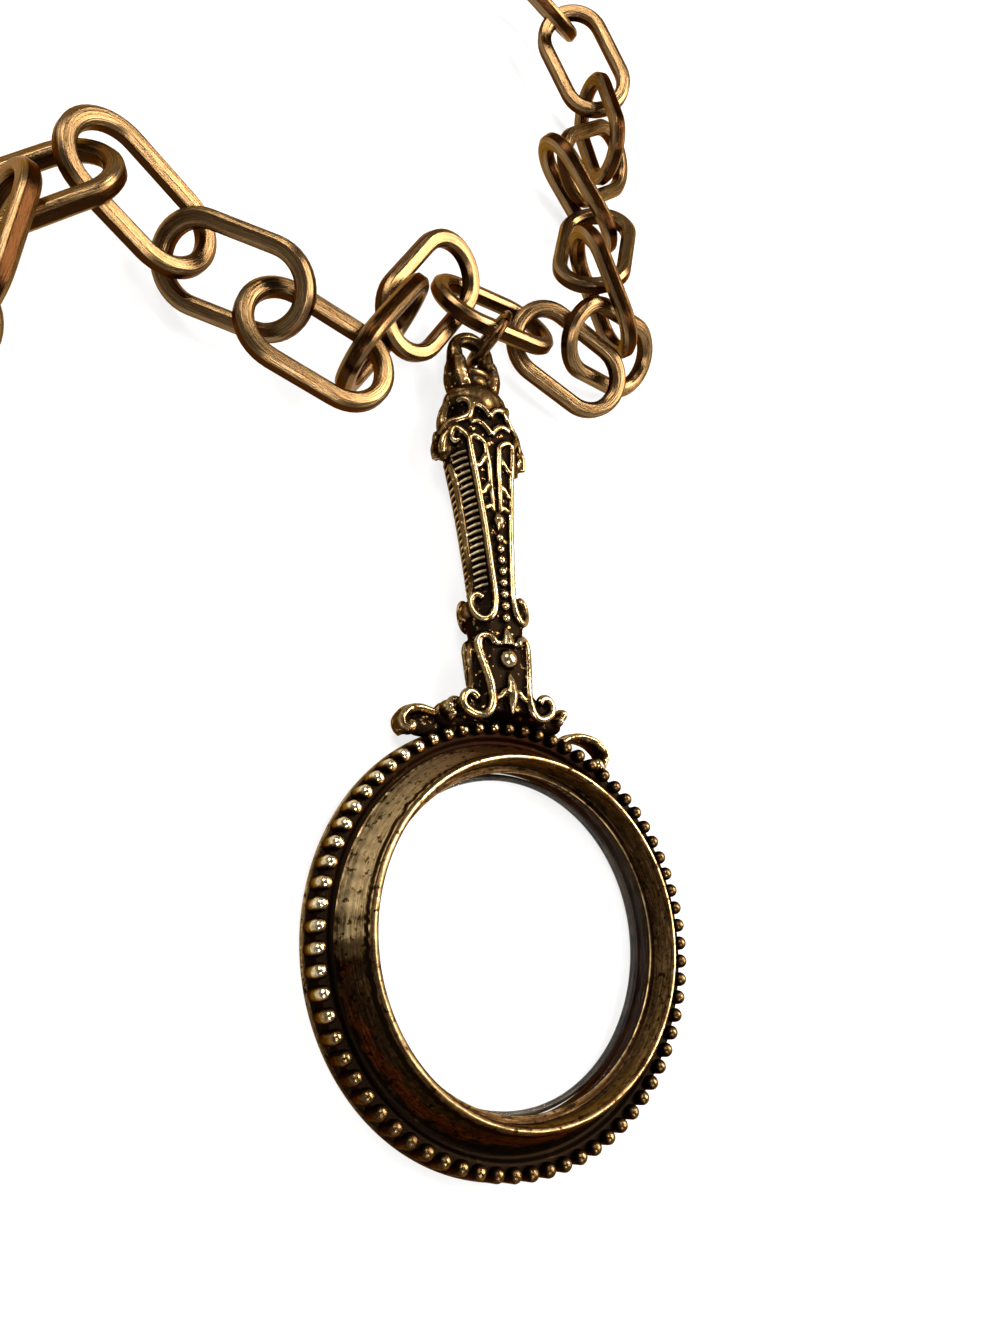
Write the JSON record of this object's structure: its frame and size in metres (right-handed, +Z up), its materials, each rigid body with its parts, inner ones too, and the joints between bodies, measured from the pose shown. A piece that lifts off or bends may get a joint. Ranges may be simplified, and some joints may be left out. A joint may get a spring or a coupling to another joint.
{
  "type": "magnifier pendant necklace",
  "caption": "Magnifying-glass pendant necklace: a scrolled handle and a beaded bezel with a round lens, hung by a jump ring from a chain of oval links with a lobster clasp.",
  "frame": {"origin": "on the bezel's flat back rim, at the end away from the handle, where it lies on the table", "axes": "+Y along the handle towards the bail, +Z up from the table and out of the lens's front, +X to the right seen from the front"},
  "size_m": [0.1474, 0.2099, 0.0131],
  "materials": {
    "rose_gold_plate": "satin, drawn along the wire",
    "antique_gold": "cast, dark patina in the recesses and worn bright on the raised edges",
    "lens_glass": "polished",
    "spring_steel": "satin"
  },
  "bodies": {
    "pendant": {"pendant_frame": "antique_gold", "lens": "lens_glass", "lens_split_ring": "spring_steel"},
    "pendant_ring": {"jump_ring_pendant": "rose_gold_plate"},
    "middle": {"link_middle": "rose_gold_plate"},
    "left_01": {"link_left_01": "rose_gold_plate"},
    "left_02": {"link_left_02": "rose_gold_plate"},
    "left_03": {"link_left_03": "rose_gold_plate"},
    "left_04": {"link_left_04": "rose_gold_plate"},
    "left_05": {"link_left_05": "rose_gold_plate"},
    "left_06": {"link_left_06": "rose_gold_plate"},
    "left_07": {"link_left_07": "rose_gold_plate"},
    "left_08": {"link_left_08": "rose_gold_plate"},
    "left_09": {"link_left_09": "rose_gold_plate"},
    "left_10": {"link_left_10": "rose_gold_plate"},
    "left_11": {"link_left_11": "rose_gold_plate"},
    "left_12": {"link_left_12": "rose_gold_plate"},
    "left_13": {"link_left_13": "rose_gold_plate"},
    "left_14": {"link_left_14": "rose_gold_plate"},
    "left_15": {"link_left_15": "rose_gold_plate"},
    "left_16": {"link_left_16": "rose_gold_plate"},
    "left_17": {"link_left_17": "rose_gold_plate"},
    "right_01": {"link_right_01": "rose_gold_plate"},
    "right_02": {"link_right_02": "rose_gold_plate"},
    "right_03": {"link_right_03": "rose_gold_plate"},
    "right_04": {"link_right_04": "rose_gold_plate"},
    "right_05": {"link_right_05": "rose_gold_plate"},
    "right_06": {"link_right_06": "rose_gold_plate"},
    "right_07": {"link_right_07": "rose_gold_plate"},
    "right_08": {"link_right_08": "rose_gold_plate"},
    "right_09": {"link_right_09": "rose_gold_plate"},
    "right_10": {"link_right_10": "rose_gold_plate"},
    "right_11": {"link_right_11": "rose_gold_plate"},
    "right_12": {"link_right_12": "rose_gold_plate"},
    "right_13": {"link_right_13": "rose_gold_plate"},
    "right_14": {"link_right_14": "rose_gold_plate"},
    "right_15": {"link_right_15": "rose_gold_plate"},
    "right_16": {"link_right_16": "rose_gold_plate"},
    "right_17": {"link_right_17": "rose_gold_plate"},
    "right_18": {"link_right_18": "rose_gold_plate"},
    "right_19": {"link_right_19": "rose_gold_plate"},
    "clasp_ring": {"jump_ring_clasp": "rose_gold_plate"},
    "end_ring": {"jump_ring_end": "rose_gold_plate"},
    "clasp": {"clasp_body": "rose_gold_plate", "clasp_rivet": "spring_steel", "clasp_spring": "spring_steel"},
    "clasp_lever": {"clasp_lever": "rose_gold_plate"}
  },
  "joints": [
    {"name": "bail_ring_swing", "type": "hinge", "parent": "pendant", "child": "pendant_ring", "pos_m": [0.00155, 0.0846, 0.0031], "axis": [0.6561, -0.7547, 0], "range_deg": [-10, 10]},
    {"name": "middle_link_swing", "type": "hinge", "parent": "pendant_ring", "child": "middle", "pos_m": [0.00315, 0.08523, 0.00623], "axis": [0.9962, 0, -0.0872], "range_deg": [-5, 5]},
    {"name": "left_01_swing", "type": "hinge", "parent": "middle", "child": "left_01", "pos_m": [-0.00447, 0.08895, 0.00515], "axis": [0.0368, -0.9063, 0.421], "range_deg": [-10, 5]},
    {"name": "left_02_swing", "type": "hinge", "parent": "left_01", "child": "left_02", "pos_m": [-0.01052, 0.08157, 0.00418], "axis": [-0.7845, 0.4597, 0.4162], "range_deg": [-20, 5]},
    {"name": "left_03_swing", "type": "hinge", "parent": "left_02", "child": "left_03", "pos_m": [-0.01693, 0.07411, 0.00588], "axis": [-0.1422, 0.0996, 0.9848], "range_deg": [-20, 20]},
    {"name": "left_04_swing", "type": "hinge", "parent": "left_03", "child": "left_04", "pos_m": [-0.0278, 0.07802, 0.00702], "axis": [0.3407, 0.9361, 0.0872], "range_deg": [-20, 10]},
    {"name": "left_05_swing", "type": "hinge", "parent": "left_04", "child": "left_05", "pos_m": [-0.03463, 0.08478, 0.00291], "axis": [-0.041, -0.7185, -0.6943], "range_deg": [-20, 15]},
    {"name": "left_06_swing", "type": "hinge", "parent": "left_05", "child": "left_06", "pos_m": [-0.04392, 0.091, 0.00783], "axis": [0.5, 0.866, 0], "range_deg": [-20, 0]},
    {"name": "left_07_swing", "type": "hinge", "parent": "left_06", "child": "left_07", "pos_m": [-0.05246, 0.08032, 0.00363], "axis": [-0.3907, 0.7836, -0.483], "range_deg": [-20, 5]},
    {"name": "left_08_swing", "type": "hinge", "parent": "left_07", "child": "left_08", "pos_m": [-0.0506, 0.06959, 0.0044], "axis": [-0.3085, 0.2201, -0.9254], "range_deg": [-20, 20]},
    {"name": "left_09_swing", "type": "hinge", "parent": "left_08", "child": "left_09", "pos_m": [-0.06344, 0.07053, 0.00525], "axis": [-0.0868, -0.866, -0.4924], "range_deg": [-20, 20]},
    {"name": "left_10_swing", "type": "hinge", "parent": "left_09", "child": "left_10", "pos_m": [-0.07448, 0.06632, 0.00529], "axis": [0.1294, -0.483, 0.866], "range_deg": [-20, 20]},
    {"name": "left_11_swing", "type": "hinge", "parent": "left_10", "child": "left_11", "pos_m": [-0.08646, 0.06495, 0.00461], "axis": [0.0668, -0.7631, -0.6428], "range_deg": [-20, 20]},
    {"name": "left_12_swing", "type": "hinge", "parent": "left_11", "child": "left_12", "pos_m": [-0.09832, 0.06678, 0.0056], "axis": [0.1228, 0.6964, -0.7071], "range_deg": [-20, 20]},
    {"name": "left_13_swing", "type": "hinge", "parent": "left_12", "child": "left_13", "pos_m": [-0.10738, 0.07527, 0.00485], "axis": [0.4545, 0.5417, 0.7071], "range_deg": [-20, 20]},
    {"name": "left_14_swing", "type": "hinge", "parent": "left_13", "child": "left_14", "pos_m": [-0.11233, 0.08639, 0.00584], "axis": [-0.6409, -0.2988, 0.7071], "range_deg": [-20, 20]},
    {"name": "left_15_swing", "type": "hinge", "parent": "left_14", "child": "left_15", "pos_m": [-0.11421, 0.09843, 0.00534], "axis": [0.6964, 0.1228, 0.7071], "range_deg": [-20, 20]},
    {"name": "left_16_swing", "type": "hinge", "parent": "left_15", "child": "left_16", "pos_m": [-0.11397, 0.1106, 0.00559], "axis": [0.7071, 0, -0.7071], "range_deg": [-20, 20]},
    {"name": "left_17_swing", "type": "hinge", "parent": "left_16", "child": "left_17", "pos_m": [-0.11267, 0.1227, 0.00559], "axis": [-0.7044, 0.0616, -0.7071], "range_deg": [-20, 20]},
    {"name": "right_01_swing", "type": "hinge", "parent": "middle", "child": "right_01", "pos_m": [0.01047, 0.08895, 0.00385], "axis": [-0.0368, 0.9063, -0.421], "range_deg": [-20, 15]},
    {"name": "right_02_swing", "type": "hinge", "parent": "right_01", "child": "right_02", "pos_m": [0.02035, 0.08291, 0.00433], "axis": [0.383, 0.8214, 0.4226], "range_deg": [0, 20]},
    {"name": "right_03_swing", "type": "hinge", "parent": "right_02", "child": "right_03", "pos_m": [0.02682, 0.08963, 0.00354], "axis": [0.099, 0.7776, 0.6209], "range_deg": [0, 15]},
    {"name": "right_04_swing", "type": "hinge", "parent": "right_03", "child": "right_04", "pos_m": [0.0139, 0.10137, 0.00925], "axis": [-0.3578, -0.3802, 0.8529], "range_deg": [-20, 5]},
    {"name": "right_05_swing", "type": "hinge", "parent": "right_04", "child": "right_05", "pos_m": [0.02161, 0.11049, 0.00539], "axis": [-0.7869, 0.2332, -0.5714], "range_deg": [-20, 20]},
    {"name": "right_06_swing", "type": "hinge", "parent": "right_05", "child": "right_06", "pos_m": [0.01319, 0.11802, 0.00636], "axis": [0.305, 0.5062, -0.8067], "range_deg": [-20, 0]},
    {"name": "right_07_swing", "type": "hinge", "parent": "right_06", "child": "right_07", "pos_m": [0.02766, 0.12458, 0.00458], "axis": [-0.5543, 0.7179, 0.421], "range_deg": [-15, 20]},
    {"name": "right_08_swing", "type": "hinge", "parent": "right_07", "child": "right_08", "pos_m": [0.02318, 0.13315, 0.00466], "axis": [0.2588, -0.1677, -0.9513], "range_deg": [-20, 20]},
    {"name": "right_09_swing", "type": "hinge", "parent": "right_08", "child": "right_09", "pos_m": [0.01859, 0.14366, 0.00641], "axis": [-0.7424, -0.3462, -0.5736], "range_deg": [-20, 20]},
    {"name": "right_10_swing", "type": "hinge", "parent": "right_09", "child": "right_10", "pos_m": [0.00693, 0.14841, 0.007], "axis": [-0.3265, -0.8033, 0.4981], "range_deg": [-20, 15]},
    {"name": "right_11_swing", "type": "hinge", "parent": "right_10", "child": "right_11", "pos_m": [0.01147, 0.1615, 0.00574], "axis": [0.6428, 0, 0.766], "range_deg": [-20, 20]},
    {"name": "right_12_swing", "type": "hinge", "parent": "right_11", "child": "right_12", "pos_m": [0.00509, 0.17156, 0.00461], "axis": [-0.6275, -0.4394, 0.6428], "range_deg": [-20, 20]},
    {"name": "right_13_swing", "type": "hinge", "parent": "right_12", "child": "right_13", "pos_m": [-0.0011, 0.18224, 0.00436], "axis": [-0.6124, -0.3536, -0.7071], "range_deg": [-20, 20]},
    {"name": "right_14_swing", "type": "hinge", "parent": "right_13", "child": "right_14", "pos_m": [-0.00922, 0.19159, 0.00411], "axis": [0.5417, 0.4545, -0.7071], "range_deg": [-20, 20]},
    {"name": "right_15_swing", "type": "hinge", "parent": "right_14", "child": "right_15", "pos_m": [-0.01946, 0.19854, 0.00461], "axis": [0.4056, 0.5792, 0.7071], "range_deg": [-20, 20]},
    {"name": "right_16_swing", "type": "hinge", "parent": "right_15", "child": "right_16", "pos_m": [-0.03115, 0.2026, 0.00411], "axis": [0.2418, 0.6645, -0.7071], "range_deg": [-20, 20]},
    {"name": "right_17_swing", "type": "hinge", "parent": "right_16", "child": "right_17", "pos_m": [-0.0435, 0.2035, 0.00461], "axis": [-0.0616, -0.7044, -0.7071], "range_deg": [-20, 20]},
    {"name": "right_18_swing", "type": "hinge", "parent": "right_17", "child": "right_18", "pos_m": [-0.05581, 0.20221, 0.00436], "axis": [-0.0616, 0.7044, -0.7071], "range_deg": [-20, 20]},
    {"name": "right_19_swing", "type": "hinge", "parent": "right_18", "child": "right_19", "pos_m": [-0.06794, 0.19984, 0.00436], "axis": [0.1228, -0.6964, -0.7071], "range_deg": [-20, 20]},
    {"name": "clasp_ring_swing", "type": "hinge", "parent": "left_17", "child": "clasp_ring", "pos_m": [-0.11031, 0.13463, 0.00559], "axis": [0.6964, -0.1228, -0.7071], "range_deg": [-25, 25]},
    {"name": "end_ring_swing", "type": "hinge", "parent": "right_19", "child": "end_ring", "pos_m": [-0.07982, 0.19642, 0.00436], "axis": [-0.183, 0.683, -0.7071], "range_deg": [-25, 25]},
    {"name": "clasp_swing", "type": "hinge", "parent": "clasp_ring", "child": "clasp", "pos_m": [-0.10944, 0.13953, 0.00559], "axis": [0, 0, -1], "range_deg": [-25, 25]},
    {"name": "lever_press", "type": "hinge", "parent": "clasp", "child": "clasp_lever", "pos_m": [-0.11116, 0.14397, 0.00452], "axis": [0.0211, 0.241, 0.9703], "range_deg": [-20, 0], "stiffness_Nm_per_rad": 0.002}
  ]
}
